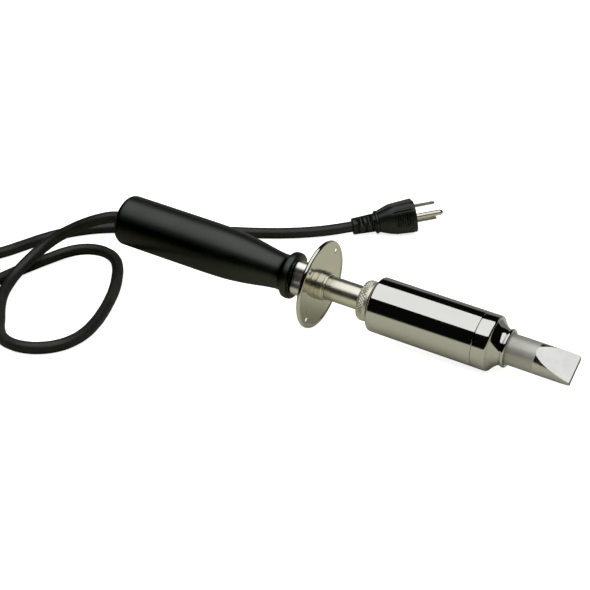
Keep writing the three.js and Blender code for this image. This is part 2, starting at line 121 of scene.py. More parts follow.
# ---- Camera: 100 mm lens, level apart from a half-degree roll
def add_camera():
    azimuth, elevation, roll = (math.radians(a) for a in (28.73, 25.66, 0.475))
    distance = 1166.3  # from the lens to the middle of the shield's face
    aside, above = 19.2, 7.1  # where that middle lies from the view's centre line
    back = Vector(
        (
            math.sin(azimuth) * math.cos(elevation),
            -math.cos(azimuth) * math.cos(elevation),
            math.sin(elevation),
        )
    )
    level = Vector((math.cos(azimuth), math.sin(azimuth), 0))
    right = Matrix.Rotation(roll, 3, back) @ level
    up = back.cross(right)
    place = IRON @ Vector((0, 0, 0)) + back * distance - right * aside - up * above
    data = bpy.data.cameras.new("camera")
    data.lens = 100
    data.sensor_width = 36
    data.clip_end = 50
    camera = bpy.data.objects.new("camera", data)
    turn = Matrix((right, up, back)).transposed().to_4x4()
    camera.matrix_world = Matrix.Translation(place * MM) @ turn
    bpy.context.scene.collection.objects.link(camera)
    bpy.context.scene.camera = camera


add_camera()


# ---- Materials
class Shader:
    """A Principled material with short calls for its texture nodes."""

    def __init__(self, name, color, roughness, metallic=0.0, **sockets):
        self.material = bpy.data.materials.new(name)
        self.material.use_nodes = True
        self.tree = self.material.node_tree
        self.principled = self.tree.nodes["Principled BSDF"]
        self.set("Base Color", (*color, 1))
        self.set("Roughness", roughness)
        self.set("Metallic", metallic)
        for socket, value in sockets.items():
            self.set(socket.replace("_", " ").title().replace("Ior", "IOR"), value)
        self.material.diffuse_color = (*color, 1)
        self.coordinates = self.node("ShaderNodeTexCoord").outputs["Object"]
        self.height = None

    def set(self, socket, value):
        self.principled.inputs[socket].default_value = value

    def node(self, kind, **inputs):
        made = self.tree.nodes.new(kind)
        for name, value in inputs.items():
            made.inputs[name.replace("_", " ")].default_value = value
        return made

    def link(self, output, target):
        self.tree.links.new(output, target)

    def stretched(self, turn=(0, 0, 0), scale=(1, 1, 1)):
        mapping = self.node("ShaderNodeMapping")
        mapping.inputs["Rotation"].default_value = turn
        mapping.inputs["Scale"].default_value = scale
        self.link(self.coordinates, mapping.inputs["Vector"])
        return mapping.outputs["Vector"]

    def noise(self, scale, detail=4.0, vector=None):
        made = self.node("ShaderNodeTexNoise", Scale=scale, Detail=detail)
        self.link(vector or self.coordinates, made.inputs["Vector"])
        return made.outputs["Fac"]

    def ramp(self, factor, low, high, start=0.3, end=0.7):
        made = self.node("ShaderNodeMapRange")
        made.inputs["From Min"].default_value = start
        made.inputs["From Max"].default_value = end
        made.inputs["To Min"].default_value = low
        made.inputs["To Max"].default_value = high
        self.link(factor, made.inputs["Value"])
        return made.outputs["Result"]

    def tint(self, factor, first, second, start=0.3, end=0.7):
        made = self.node("ShaderNodeValToRGB")
        made.color_ramp.elements[0].position = start
        made.color_ramp.elements[0].color = (*first, 1)
        made.color_ramp.elements[1].position = end
        made.color_ramp.elements[1].color = (*second, 1)
        self.link(factor, made.inputs["Fac"])
        self.link(made.outputs["Color"], self.principled.inputs["Base Color"])

    def rough(self, factor, low, high):
        self.link(self.ramp(factor, low, high), self.principled.inputs["Roughness"])

    def bump(self, factor, depth, strength=1.0):
        made = self.node("ShaderNodeBump", Strength=strength, Distance=depth * MM)
        self.link(factor, made.inputs["Height"])
        if self.height is not None:
            self.link(self.height, made.inputs["Normal"])
        self.height = made.outputs["Normal"]
        self.link(self.height, self.principled.inputs["Normal"])


ALONG_IRON = (0, REST_TILT, 0)


def lacquered_wood():
    s = Shader("lacquered_wood", (0.002, 0.003, 0.0025), 0.4, specular_ior_level=0.92)
    s.set("Specular Tint", (0.95, 1.0, 0.91, 1))
    grain = s.noise(60, 8, s.stretched(ALONG_IRON, (0.12, 1, 1)))
    fine = s.noise(900, 3, s.stretched(ALONG_IRON, (0.05, 1, 1)))
    s.tint(grain, (0.0015, 0.0025, 0.002), (0.003, 0.0045, 0.0038))
    s.rough(s.noise(35), 0.36, 0.43)
    s.bump(grain, 0.05, 0.5)
    s.bump(fine, 0.012, 0.6)
    return s.material


def plated(name, warm, cool, low, high, turned=0.004):
    """Plate over a turned surface: cloudy roughness and faint marks round the axis."""
    s = Shader(name, warm, (low + high) / 2, 1.0)
    s.tint(s.noise(28, 5), warm, cool)
    s.rough(s.noise(70, 6), low, high)
    marks = s.noise(220, 2, s.stretched(ALONG_IRON, (6, 0.15, 0.15)))
    s.bump(marks, turned, 0.5)
    return s.material


def brushed(
    name, dark, light, low, high, turn=ALONG_IRON, stretch=(0.04, 1, 1), depth=0.03, metallic=1.0
):
    s = Shader(name, light, (low + high) / 2, metallic)
    streaks = s.noise(900, 5, s.stretched(turn, stretch))
    s.tint(s.noise(40, 6), dark, light)
    s.rough(streaks, low, high)
    s.bump(streaks, depth, 0.7)
    return s.material


def tinned():
    s = Shader("tinned_flat", (0.61, 0.61, 0.60), 0.2, 1.0)
    s.tint(s.noise(90, 5), (0.58, 0.58, 0.565), (0.64, 0.64, 0.63))
    s.rough(s.noise(160, 4), 0.14, 0.26)
    s.bump(s.noise(120, 3), 0.03, 0.4)
    s.bump(s.noise(1500, 2), 0.01, 0.6)
    return s.material


def moulded_rubber(name, dark, light, low, high, grain=0.02):
    s = Shader(name, dark, (low + high) / 2)
    s.tint(s.noise(45, 5), dark, light)
    s.rough(s.noise(120, 4), low, high)
    s.bump(s.noise(2200, 2), grain, 0.6)
    return s.material


def mineral(name, dark, light, low, high, scale=500, grain=0.05):
    s = Shader(name, light, (low + high) / 2)
    s.tint(s.noise(scale / 8, 6), dark, light)
    s.rough(s.noise(scale / 4), low, high)
    s.bump(s.noise(scale, 3), grain, 0.7)
    return s.material


MATERIALS = {
    "lacquered_wood": lacquered_wood(),
    "nickel": plated("nickel", (0.72, 0.70, 0.59), (0.80, 0.78, 0.68), 0.25, 0.33),
    "bright_nickel": plated("bright_nickel", (0.64, 0.63, 0.55), (0.70, 0.69, 0.62), 0.07, 0.12),
    "satin_nickel": plated("satin_nickel", (0.84, 0.84, 0.78), (0.92, 0.92, 0.87), 0.26, 0.34),
    "chrome": plated("chrome", (0.60, 0.60, 0.57), (0.63, 0.63, 0.61), 0.04, 0.08, 0.002),
    "zinc_steel": brushed("zinc_steel", (0.44, 0.45, 0.44), (0.56, 0.57, 0.56), 0.28, 0.42),
    "plated_tip": brushed(
        "plated_tip", (0.50, 0.50, 0.46), (0.60, 0.60, 0.56), 0.46, 0.58, metallic=0.75
    ),
    "tinned": tinned(),
    "knurled": plated("knurled_nickel", (0.78, 0.76, 0.65), (0.86, 0.84, 0.74), 0.42, 0.52),
    "rubber": moulded_rubber("rubber", (0.014, 0.0155, 0.0125), (0.025, 0.027, 0.022), 0.36, 0.48),
    "plug_rubber": moulded_rubber(
        "plug_rubber", (0.008, 0.0098, 0.0084), (0.013, 0.0155, 0.0132), 0.27, 0.37, 0.012
    ),
    "ceramic": mineral("ceramic", (0.68, 0.62, 0.50), (0.80, 0.75, 0.64), 0.5, 0.7),
    "mica": mineral("mica", (0.34, 0.25, 0.13), (0.52, 0.41, 0.24), 0.3, 0.5, 300),
    "resistance_wire": brushed("resistance_wire", (0.16, 0.14, 0.12), (0.28, 0.25, 0.22), 0.4, 0.6),
    "dark_edge": brushed("dark_edge", (0.10, 0.10, 0.095), (0.2, 0.2, 0.19), 0.4, 0.55),
    "copper": brushed("copper", (0.50, 0.24, 0.12), (0.64, 0.32, 0.18), 0.25, 0.4),
    "brass": brushed("pin_plate", (0.66, 0.63, 0.54), (0.78, 0.76, 0.68), 0.18, 0.3, (0, 0, 0)),
}


# ---- Mesh helpers
def adopt(obj, body, slot, material, *nodes):
    """Gives a piece its material and its body, and hides the nodes that it stands for. Its slot
    argument is not used.
    """
    if not obj.data.materials:
        obj.data.materials.append(MATERIALS[material])
    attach(obj, body)
    if nodes:
        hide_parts(*nodes)
    return obj


def mesh_object(name, bm, place, sharp=35):
    """Turns a bmesh in millimetres, in its own local frame, into an object in metres."""
    bmesh.ops.recalc_face_normals(bm, faces=bm.faces)
    bm.transform(Matrix.Scale(MM, 4) @ place)
    data = bpy.data.meshes.new(name)
    bm.to_mesh(data)
    bm.free()
    data.shade_smooth()
    data.set_sharp_from_angle(angle=math.radians(sharp))
    obj = bpy.data.objects.new(name, data)
    bpy.context.scene.collection.objects.link(obj)
    return obj


def filleted(profile, steps=4):
    """[station, radius] points, with an arc at each corner that has a third number."""
    closed = profile[0][:2] == profile[-1][:2]
    points = profile[:-1] if closed else profile
    count = len(points)
    out = []
    for i, point in enumerate(points):
        here = Vector(point[:2])
        fillet = point[2] if len(point) > 2 else 0
        if not fillet or (not closed and i in (0, count - 1)):
            out.append(tuple(here))
            continue
        before = (Vector(points[i - 1][:2]) - here).normalized()
        after = (Vector(points[(i + 1) % count][:2]) - here).normalized()
        half = before.angle(after) / 2
        reach = fillet / math.tan(half)
        centre = here + (before + after).normalized() * (fillet / math.sin(half))
        first = here + before * reach - centre
        last = here + after * reach - centre
        turn = first.angle_signed(last)
        for k in range(steps + 1):
            angle = -turn * k / steps
            out.append(
                (
                    centre.x + first.x * math.cos(angle) - first.y * math.sin(angle),
                    centre.y + first.x * math.sin(angle) + first.y * math.cos(angle),
                )
            )
    if closed:
        out.append(out[0])
    return out


def revolve(profile, segments=96, bm=None):
    """A surface of revolution about the X axis. Its profile starts and ends on the axis,
    or closes on itself."""
    bm = bm or bmesh.new()
    closed = profile[0] == profile[-1]
    stations = profile[:-1] if closed else profile
    rings = []
    for station, radius in stations:
        if radius < 1e-6:
            rings.append([bm.verts.new((station, 0, 0))])
            continue
        angles = (2 * math.pi * k / segments for k in range(segments))
        rings.append(
            [bm.verts.new((station, radius * math.sin(a), radius * math.cos(a))) for a in angles]
        )
    pairs = list(zip(rings, rings[1:]))
    if closed:
        pairs.append((rings[-1], rings[0]))
    for first, second in pairs:
        for k in range(segments):
            after = (k + 1) % segments
            corners = [first[k % len(first)], first[after % len(first)]]
            corners += [second[after % len(second)], second[k % len(second)]]
            unique = list(dict.fromkeys(corners))
            if len(unique) > 2:
                bm.faces.new(unique)
    return bm


def turned(name, profile, segments=96, place=IRON, sharp=35):
    return mesh_object(name, revolve(filleted(profile), segments), place, sharp)


def arc(station, radius, rounding, start, end, steps=8):
    """Points of a round corner between two angles, measured from forward to outward."""
    out = []
    for k in range(steps + 1):
        angle = math.radians(start + (end - start) * k / steps)
        out.append((station + rounding * math.cos(angle), radius + rounding * math.sin(angle)))
    return out


def smooth_curve(points, steps=5):
    """Points of a smooth curve through given [station, radius] points."""
    out = []
    for i in range(len(points) - 1):
        p0 = Vector(points[max(i - 1, 0)])
        p1 = Vector(points[i])
        p2 = Vector(points[i + 1])
        p3 = Vector(points[min(i + 2, len(points) - 1)])
        for k in range(steps):
            t = k / steps
            spread = 2 * p0 - 5 * p1 + 4 * p2 - p3
            bend = -p0 + 3 * p1 - 3 * p2 + p3
            out.append(tuple(0.5 * (2 * p1 + (p2 - p0) * t + spread * t * t + bend * t**3)))
    out.append(tuple(points[-1]))
    return out


def cut_with(obj, cutters):
    """Cuts away other objects, which are then dropped."""
    for cutter in cutters:
        modifier = obj.modifiers.new("cut", "BOOLEAN")
        modifier.operation = "DIFFERENCE"
        modifier.solver = "EXACT"
        modifier.object = cutter
    apply_modifiers(obj)
    for cutter in cutters:
        bpy.data.objects.remove(cutter)


def apply_modifiers(obj):
    graph = bpy.context.evaluated_depsgraph_get()
    made = bpy.data.meshes.new_from_object(obj.evaluated_get(graph))
    old = obj.data
    obj.modifiers.clear()
    obj.data = made
    made.name = old.name
    bpy.data.meshes.remove(old)


def round_edges(obj, width, segments=2, angle=40):
    modifier = obj.modifiers.new("rounding", "BEVEL")
    modifier.width = width * MM
    modifier.segments = segments
    modifier.limit_method = "ANGLE"
    modifier.angle_limit = math.radians(angle)
    modifier.harden_normals = False
    apply_modifiers(obj)
    obj.data.shade_smooth()
    obj.data.set_sharp_from_angle(angle=math.radians(angle))


def around(angle):
    return Matrix.Rotation(math.radians(angle), 4, "X")


def box_mesh(centre, size):
    bm = bmesh.new()
    bmesh.ops.create_cube(bm, size=1)
    bm.transform(Matrix.Translation(centre) @ Matrix.Diagonal((*size, 1)))
    return bm


# ---- Cord: the frame's route, with the coil's turns worked out between its two runs
HANDLE_RUN = [
    (-173, 0, 47.7),
    (-179.1, 0, 48.3),
    (-188, -1.2, 48.2),
    (-198.5, -5, 45.7),
    (-210, -9.2, 41),
    (-221, -12.8, 35),
    (-230.2, -16.8, 29),
    (-237.2, -22.6, 23),
    (-242, -31, 17.4),
    (-244.6, -41.5, 12.4),
    (-244.8, -53, 8.6),
    (-242.2, -65.5, 6),
    (-237, -78.5, 4.8),
    (-227.6, -94.2, 4.5),
    (-214.3, -112, 4.5),
    (-202, -127.8, 4.5),
    (-192.5, -136, 4.5),
    (-181.6, -139.8, 4.5),
    (-170.2, -139.2, 4.5),
    (-159.9, -134.3, 4.5),
    (-152.1, -125.8, 4.5),
    (-148, -115, 4.5),
    (-147.2, -102, 4.5),
    (-150, -85, 4.5),
    (-155.2, -67.5, 4.5),
    (-162, -49.5, 4.5),
    (-170.3, -31, 4.5),
    (-180.3, -13, 4.6),
    (-189.5, 1.1, 5.4),
    (-197.6, 9.5, 6.8),
    (-208.2, 14.4, 7.7),
    (-219.8, 14.8, 7.9),
    (-230.8, 10.6, 7.2),
    (-239.2, 2.6, 5.9),
    (-244.4, -8, 4.9),
    (-248.8, -23, 4.5),
    (-252.2, -39.5, 4.5),
    (-255, -57, 4.5),
    (-258.4, -75.5, 4.7),
    (-262.5, -94.5, 5.1),
]
PLUG_RUN = [
    (-369.5, -109.3, 6.9),
    (-365.5, -95, 5.4),
    (-357.6, -81.5, 4.6),
    (-345, -69.5, 4.5),
    (-328, -59, 4.5),
    (-309, -48.5, 4.5),
    (-293.5, -35.5, 4.5),
    (-284, -18.5, 4.5),
    (-278, 0, 4.5),
    (-272.8, 17, 4.5),
    (-266.3, 32, 4.5),
    (-256.9, 46.3, 4.5),
    (-244.3, 58.8, 4.5),
    (-227, 69.5, 4.5),
    (-208, 78.8, 4.5),
    (-188.5, 87.7, 4.5),
    (-169, 95.7, 4.5),
    (-150, 103.9, 4.5),
    (-129.3, 113.4, 4.5),
    (-109, 125, 4.5),
    (-91, 137.7, 4.9),
    (-79, 147.6, 5.7),
    (-67.8, 157.3, 7),
]
COIL_CENTRE = (-313, -124)
COIL_OUTER_TURN = 48.6
COIL_INNER_TURN = 39.6
COIL_LOW = 5.8
COIL_HIGH = 14.9
COIL_RUN_OFF = 9.6  # how far outside the outer turn the cord leaves the coil
COIL_LAST = 5  # height at which it leaves
COIL_END = 1260  # degrees that the coil turns through, clockwise from above
COIL_STEP = 15


def eased(value, start, end, low, high):
    share = min(1, max(0, (value - start) / (end - start)))
    return low + (high - low) * share * share * (3 - 2 * share)


def coil_point(angle):
    """In along the floor, up on to the inner turn, out again, and off the outer turn.
    Each ease runs between two angles of the whole coil, in degrees."""
    radius = eased(angle, 250, 320, COIL_OUTER_TURN, COIL_INNER_TURN)
    radius += eased(angle, 870, 930, 0, COIL_OUTER_TURN - COIL_INNER_TURN)
    radius += eased(angle, 1190, 1265, 0, COIL_RUN_OFF)
    height = eased(angle, 560, 630, COIL_LOW, COIL_HIGH)
    height += eased(angle, 1215, 1290, 0, COIL_LAST - COIL_HIGH)
    turn = math.radians(angle)
    x = COIL_CENTRE[0] + radius * math.cos(turn)
    y = COIL_CENTRE[1] - radius * math.sin(turn)
    return (x, y, height)


def add_cord():
    coil = [coil_point(angle) for angle in range(0, COIL_END + 1, COIL_STEP)]
    points = HANDLE_RUN + coil + PLUG_RUN
    data = bpy.data.curves.new("cord", "CURVE")
    data.dimensions = "3D"
    data.resolution_u = 6
    data.bevel_depth = CORD_RADIUS * MM
    data.bevel_resolution = 5
    data.use_fill_caps = True
    spline = data.splines.new("BEZIER")
    spline.bezier_points.add(len(points) - 1)
    for knot, point in zip(spline.bezier_points, points):
        knot.co = Vector(point) * MM
        knot.handle_left_type = "AUTO"
        knot.handle_right_type = "AUTO"
    cord = bpy.data.objects.new("cord", data)
    bpy.context.scene.collection.objects.link(cord)
    runs = ("cord_handle_run", "cord_coil", "cord_plug_run")
    return adopt(cord, "handle_unit", "rubber", "rubber", *runs)


cord = add_cord()

# ---- Handle: a turned outline through listed points, with its stepped bore
HANDLE_OUTLINE = [
    (-163, 19),
    (-140, 19.05),
    (-115, 19.05),
    (-92, 19),
    (-78, 18.7),
    (-67, 17.9),
    (-54, 16.3),
    (-44, 14.6),
    (-36, 13.5),
    (-32, 13.3),
    (-29, 13.9),
    (-27.1, 15.6),
    (-26.1, 16.7),
    (-24.9, 17.15),
    (-22.9, 17.3),
    (-21.2, 16.9),
    (-20.2, 15.6),
]


def add_handle():
    mouth = BUSH_RADIUS + GAP
    rounding = 5
    cord_bore = 4.6
    profile = [(BUTT, mouth), (BUTT, 11)]
    profile += arc(BUTT + rounding, HANDLE_RADIUS - rounding, rounding, 180, 90, 12)
    profile += smooth_curve(HANDLE_OUTLINE)[1:]
    profile += [(HANDLE_FRONT, 12), (HANDLE_FRONT, CAVITY_RADIUS, 0.4)]
    profile += [(CAVITY_REAR, CAVITY_RADIUS), (CAVITY_REAR, cord_bore), (BUSH_SEAT, cord_bore)]
    profile += [(BUSH_SEAT, mouth), (BUTT, mouth)]
    handle = turned("handle_wood", profile, 128, sharp=50)
    adopt(handle, "handle_unit", "lacquered_wood", "lacquered_wood", "handle")
    lip, bush_bore = BUTT - 0.5, 4.3
    bush_profile = [
        (lip, bush_bore, 0.5),
        (lip, 7.4, 0.4),
        (BUTT - 0.1, BUSH_RADIUS, 0.2),
        (BUSH_SEAT - GAP, BUSH_RADIUS, 0.4),
        (BUSH_SEAT - GAP, bush_bore),
        (lip, bush_bore, 0.5),
    ]
    bush = turned("cord_bush_moulding", bush_profile, 64)
    adopt(bush, "handle_unit", "rubber", "plug_rubber", "cord_bush")


# ---- Bracket: a three-lobed collar, with a screw in each lobe
def bracket_radius(degrees):
    nearest = min(abs((degrees - a + 180) % 360 - 180) for a in LOBE_ANGLES)
    turn = math.radians(nearest)
    lobe = LOBE_CENTRE * math.cos(turn)
    lobe += math.sqrt(LOBE_RADIUS**2 - (LOBE_CENTRE * math.sin(turn)) ** 2)
    blend = 0.6  # rounds the valley between two lobes
    over = (lobe - BRACKET_VALLEY) / blend
    return BRACKET_VALLEY - 0.1 + blend * math.log1p(math.exp(min(over, 50)))


def add_bracket():
    rear, front, bore, fillet = -19.9, -1.4, 9.2, 0.9
    furthest = 13.55  # the lobes are cut off here
    inset_share = 0.7
    screw_circle, screw_recess = 11.3, 4
    segments, fillet_steps = 180, 6
    inner, outer = [], []
    bm = bmesh.new()
    for station in (rear, front):
        toward = 1 if station == rear else -1
        for k in range(fillet_steps + 1):
            angle = math.pi / 2 * (k if station == rear else fillet_steps - k) / fillet_steps
            inset = fillet * (1 - math.sin(angle))
            along = station + toward * fillet * (1 - math.cos(angle))
            ring = []
            for i in range(segments):
                degrees = 360 * i / segments
                turn = math.radians(degrees)
                r = min(bracket_radius(degrees), furthest) - inset * inset_share
                ring.append(bm.verts.new((along, -r * math.sin(turn), r * math.cos(turn))))
            outer.append(ring)
        turns = [2 * math.pi * i / segments for i in range(segments)]
        inner.append(
            [bm.verts.new((station, -bore * math.sin(a), bore * math.cos(a))) for a in turns]
        )
    rings = [inner[0], *outer, inner[1], inner[0]]
    for first, second in zip(rings, rings[1:]):
        for i in range(segments):
            after = (i + 1) % segments
            bm.faces.new((first[i], first[after], second[after], second[i]))
    collar = mesh_object("lobed_bracket", bm, IRON, 50)
    adopt(collar, "handle_unit", "nickel", "satin_nickel", "handle_bracket")
    seat = front - screw_recess + GAP
    for i, angle in enumerate(LOBE_ANGLES):
        place = IRON @ around(angle) @ Matrix.Translation((0, 0, screw_circle))
        dome = [(rear, 0), (rear, 0.85), (seat, 0.85), (seat, 1.4, 0.1), (seat + 1.1, 1.0, 0.4)]
        screw = turned(f"bracket_screw_{i + 1}_turned", [*dome, (seat + 1.1, 0)], 24, place)
        adopt(screw, "handle_unit", "zinc_steel", "zinc_steel", f"bracket_screw_{i + 1}")


# ---- Heat shield: a spun disc with a rolled rim, a recessed face and four holes
def add_shield():
    inner = TUBE_RADIUS + GAP
    bead = RIM_ROUNDING
    recess_share, bead_reach = 0.36, 1.77  # both in bead radii
    face = -recess_share * bead
    clear = 0.05  # the collar starts this far from the face
    profile = [(-SHIELD_SHEET, inner), (-SHIELD_SHEET, SHIELD_RADIUS - 2 * bead)]
    profile += arc(-bead, SHIELD_RADIUS - bead, bead, 215, -50, 26)
    profile += [
        (face, SHIELD_RADIUS - bead_reach * bead - 0.1),
        (face, SHIELD_HOLE_CIRCLE - 3.5),
        (face, inner + 2.5),
        (face, inner),
        (-SHIELD_SHEET, inner),
    ]
    disc = turned("shield_disc", profile, 160, sharp=30)
    cutters = []
    for angle in SHIELD_HOLE_ANGLES:
        place = IRON @ around(angle) @ Matrix.Translation((0, 0, SHIELD_HOLE_CIRCLE))
        rod = [(-5, 0), (-5, SHIELD_HOLE_RADIUS), (3, SHIELD_HOLE_RADIUS), (3, 0)]
        cutters.append(turned("hole", rod, 32, place))
    cut_with(disc, cutters)
    adopt(disc, "handle_unit", "nickel", "bright_nickel", "heat_shield")

    foot, neck = face + clear, COLLAR_RADIUS - 0.5
    collar = [
        (foot, inner),
        (foot, COLLAR_RADIUS + 0.25, 0.2),
        (0.9, COLLAR_RADIUS, 0.3),
        (3.8, COLLAR_RADIUS, 0.3),
        (4.4, neck, 0.2),
        (COLLAR_FRONT, neck, 0.35),
        (COLLAR_FRONT, inner),
        (foot, inner),
    ]
    ring = turned("collar_ring", collar, 96)
    adopt(ring, "handle_unit", "nickel", "nickel", "shield_collar")
    tube = [
        (TUBE_REAR, TUBE_BORE),
        (TUBE_REAR, TUBE_RADIUS, 0.3),
        (TUBE_FRONT, TUBE_RADIUS, 0.5),
        (TUBE_FRONT, TUBE_BORE, 0.2),
        (TUBE_REAR, TUBE_BORE),
    ]
    adopt(turned("neck_pipe", tube, 96), "handle_unit", "nickel", "nickel", "neck_tube")


# ---- Ring nut: a diamond knurl between two plain lips
def knurl(bm, rear, front, radius, depth, around_count, rows):
    """A band of small pyramids. Each row's peaks stand between those of the next."""
    columns = 2 * around_count
    grid = []
    for row in range(rows + 1):
        station = rear + (front - rear) * row / rows
        ring = []
        for column in range(columns):
            peak = (row + column) % 2 == 0 and 0 < row < rows
            r = radius - (0 if peak else depth)
            angle = 2 * math.pi * column / columns
            ring.append(bm.verts.new((station, r * math.sin(angle), r * math.cos(angle))))
        grid.append(ring)
    for row in range(rows):
        for column in range(columns):
            after = (column + 1) % columns
            a, b = grid[row][column], grid[row][after]
            c, d = grid[row + 1][after], grid[row + 1][column]
            if (row + column) % 2 == 0:
                bm.faces.new((a, b, d))
                bm.faces.new((b, c, d))
            else:
                bm.faces.new((a, b, c))
                bm.faces.new((a, c, d))


def add_ring_nut():
    teeth, rows, depth = 44, 4, 0.5
    rear, front = NUT_REAR + 0.9, NUT_FRONT - 1.9
    segments = 2 * teeth
    valley = NUT_RADIUS - depth
    lip = NUT_RADIUS - 0.6
    bore = TUBE_RADIUS + GAP
    bm = bmesh.new()
    knurl(bm, rear, front, NUT_RADIUS, depth, teeth, rows)
    front_side = filleted(
        [(front, valley), (front + 0.15, lip), (NUT_FRONT, lip, 0.25), (NUT_FRONT, bore)]
    )
    rear_side = filleted([(NUT_REAR, bore), (NUT_REAR, valley - 0.5, 0.3), (rear, valley)])
    revolve(front_side + rear_side, segments, bm)
    bmesh.ops.remove_doubles(bm, verts=bm.verts, dist=1e-4)
    nut = mesh_object("knurled_nut", bm, IRON, 30)
    adopt(nut, "ring_nut", "nickel", "knurled", "ring_nut")


# ---- Barrel: shell, nose cap, and the pieces at its rear end
def add_barrel():
    inside = BARREL_RADIUS - BARREL_WALL
    round_centre = BARREL_RADIUS - BARREL_ROUNDING
    seam = BARREL_SEAM - SEAM_HALF_GAP
    shell = [(BARREL_REAR, BARREL_MOUTH)]
    shell += arc(BARREL_REAR + BARREL_ROUNDING, round_centre, BARREL_ROUNDING, 180, 90, 10)
    shell += [
        (seam, BARREL_RADIUS, SEAM_FILLET),
        (seam, inside),
        (BARREL_REAR + 3.4, inside),
        (BARREL_REAR + 1.6, BARREL_MOUTH),
        (BARREL_REAR, BARREL_MOUTH),
    ]
    adopt(turned("barrel_sleeve", shell, 160), "barrel_unit", "chrome", "chrome", "barrel_shell")

    bore = TIP_RADIUS + GAP
    seam = BARREL_SEAM + SEAM_HALF_GAP
    nose = [(seam, inside), (seam, BARREL_RADIUS, SEAM_FILLET)]
    nose += arc(BARREL_FRONT - BARREL_ROUNDING, round_centre, BARREL_ROUNDING, 90, 20, 10)
    cove_start, cove_end, top, foot = 134.87, 141.5, 18.45, 12.95
    cove_steps = 14
    for k in range(1, cove_steps + 1):
        share = k / cove_steps
        drop = (top - foot) * (1 - share) ** 1.5
        nose.append((cove_start + (cove_end - cove_start) * share, foot + drop))
    lip = 1.4
    nose += arc(NOSE_END - lip, NOSE_RADIUS - 1.2, lip, 130, 0, 10)
    nose += [(NOSE_END - 1.0, bore), (133, bore), (131, inside), (seam, inside)]
    cap = turned("nose", nose, 160)
    screw_axis = around(TIP_SCREW_ANGLE) @ Matrix.Rotation(-math.pi / 2, 4, "Y")
    place = IRON @ Matrix.Translation((SCREW_STATION, 0, 0)) @ screw_axis
    hole_radius = 2.3
    hole = [(9, 0), (9, hole_radius), (20, hole_radius), (20, 0)]
    cut_with(cap, [turned("hole", hole, 32, place)])
    adopt(cap, "barrel_unit", "chrome", "chrome", "nose_cap")

    head, screw_radius = 15, 2
    shaft = [(bore, 0), (bore, 1.4), (12, screw_radius, 0.2), (head, screw_radius, 0.3), (head, 0)]
    screw = turned("set_screw", shaft, 32, place)
    slot_cutter = mesh_object("slot", box_mesh((head, 0, 0), (1.6, 5, 0.7)), place)
    cut_with(screw, [slot_cutter])
    adopt(screw, "tip_screw", "zinc_steel", "zinc_steel", "tip_screw")

    on_tube = TUBE_RADIUS + GAP
    washer_rear, washer_front, washer_radius = NUT_FRONT + GAP, SPIGOT_REAR - GAP, 13.6
    washer = [
        (washer_rear, on_tube),
        (washer_rear, washer_radius, 0.3),
        (washer_front, washer_radius, 0.3),
        (washer_front, on_tube),
        (washer_rear, on_tube),
    ]
    pressed = turned("pressed_washer", washer, 96)
    adopt(pressed, "handle_unit", "zinc_steel", "zinc_steel", "ring_washer")
    spigot_radius = BARREL_MOUTH - GAP
    spigot = [
        (SPIGOT_REAR, on_tube),
        (SPIGOT_REAR, spigot_radius, 0.3),
        (SPIGOT_FRONT, spigot_radius, 0.6),
        (SPIGOT_FRONT, on_tube),
        (SPIGOT_REAR, on_tube),
    ]
    adopt(turned("spigot", spigot, 96), "handle_unit", "zinc_steel", "zinc_steel", "barrel_spigot")


# ---- Tip: a plated shank and two tinned flats that meet in a blunt edge
PLATING_STATION = 166.2


def add_tip():
    profile = [
        (TIP_REAR, 0),
        (TIP_REAR, TIP_RADIUS, 0.9),
        (146.5, TIP_RADIUS),
        (PLATING_STATION, TIP_RADIUS),
        (TIP_END, TIP_RADIUS, 0.7),
        (TIP_END, 0),
    ]
    bm = revolve(filleted(profile), 144)
    for vertex in bm.verts:  # the plating's front edge is wavy
        if abs(vertex.co.x - PLATING_STATION) < 0.01:
            turn = math.atan2(vertex.co.y, vertex.co.z)
            vertex.co.x += 0.35 * math.sin(2 * turn + 1) + 0.2 * math.sin(5 * turn)
    tip = mesh_object("tip_copper", bm, IRON)
    slope = math.atan2(TIP_RADIUS - CHISEL_HALF_EDGE, TIP_END - CHISEL_START)
    cutters = []
    for side in (0, 180):
        place = (
            IRON
            @ around(side + CHISEL_ROLL)
            @ Matrix.Translation((CHISEL_START, 0, TIP_RADIUS))
            @ Matrix.Rotation(slope, 4, "Y")
        )
        cutters.append(mesh_object("flat", box_mesh((40, 0, 10), (80, 40, 20)), place))
    cut_with(tip, cutters)
    round_edges(tip, 0.22, 2, 15)
    slots = ("plated_tip", "tinned", "dark_edge")
    for material in slots:
        tip.data.materials.append(MATERIALS[material])
    margin = 0.3
    home = (Matrix.Scale(MM, 4) @ IRON).inverted()
    for face in tip.data.polygons:
        centre = home @ face.center
        flat = abs(face.normal.dot(IRON.to_3x3() @ Vector((1, 0, 0)))) > 0.2
        if centre.x > TIP_END - margin:
            material = "dark_edge"
        elif flat or centre.x > PLATING_STATION - margin:
            material = "tinned"
        else:
            material = "plated_tip"
        face.material_index = slots.index(material)
    adopt(tip, "tip_unit", "plated_tip", "plated_tip", "tip")


# ---- Heater: a wound former between two insulators, and the wiring behind it
def helix(name, rear, front, radius, turns, wire, place=IRON):
    data = bpy.data.curves.new(name, "CURVE")
    data.dimensions = "3D"
    data.bevel_depth = wire * MM
    data.bevel_resolution = 1
    data.use_fill_caps = True
    spline = data.splines.new("POLY")
    steps = 24  # in each turn
    count = turns * steps
    spline.points.add(count)
    for i, point in enumerate(spline.points):
        angle = 2 * math.pi * i / steps
        local = Vector(
            (rear + (front - rear) * i / count, radius * math.sin(angle), radius * math.cos(angle))
        )
        point.co = (*(place @ local * MM), 1)
    wound = bpy.data.objects.new(name, data)
    bpy.context.scene.collection.objects.link(wound)
    return wound


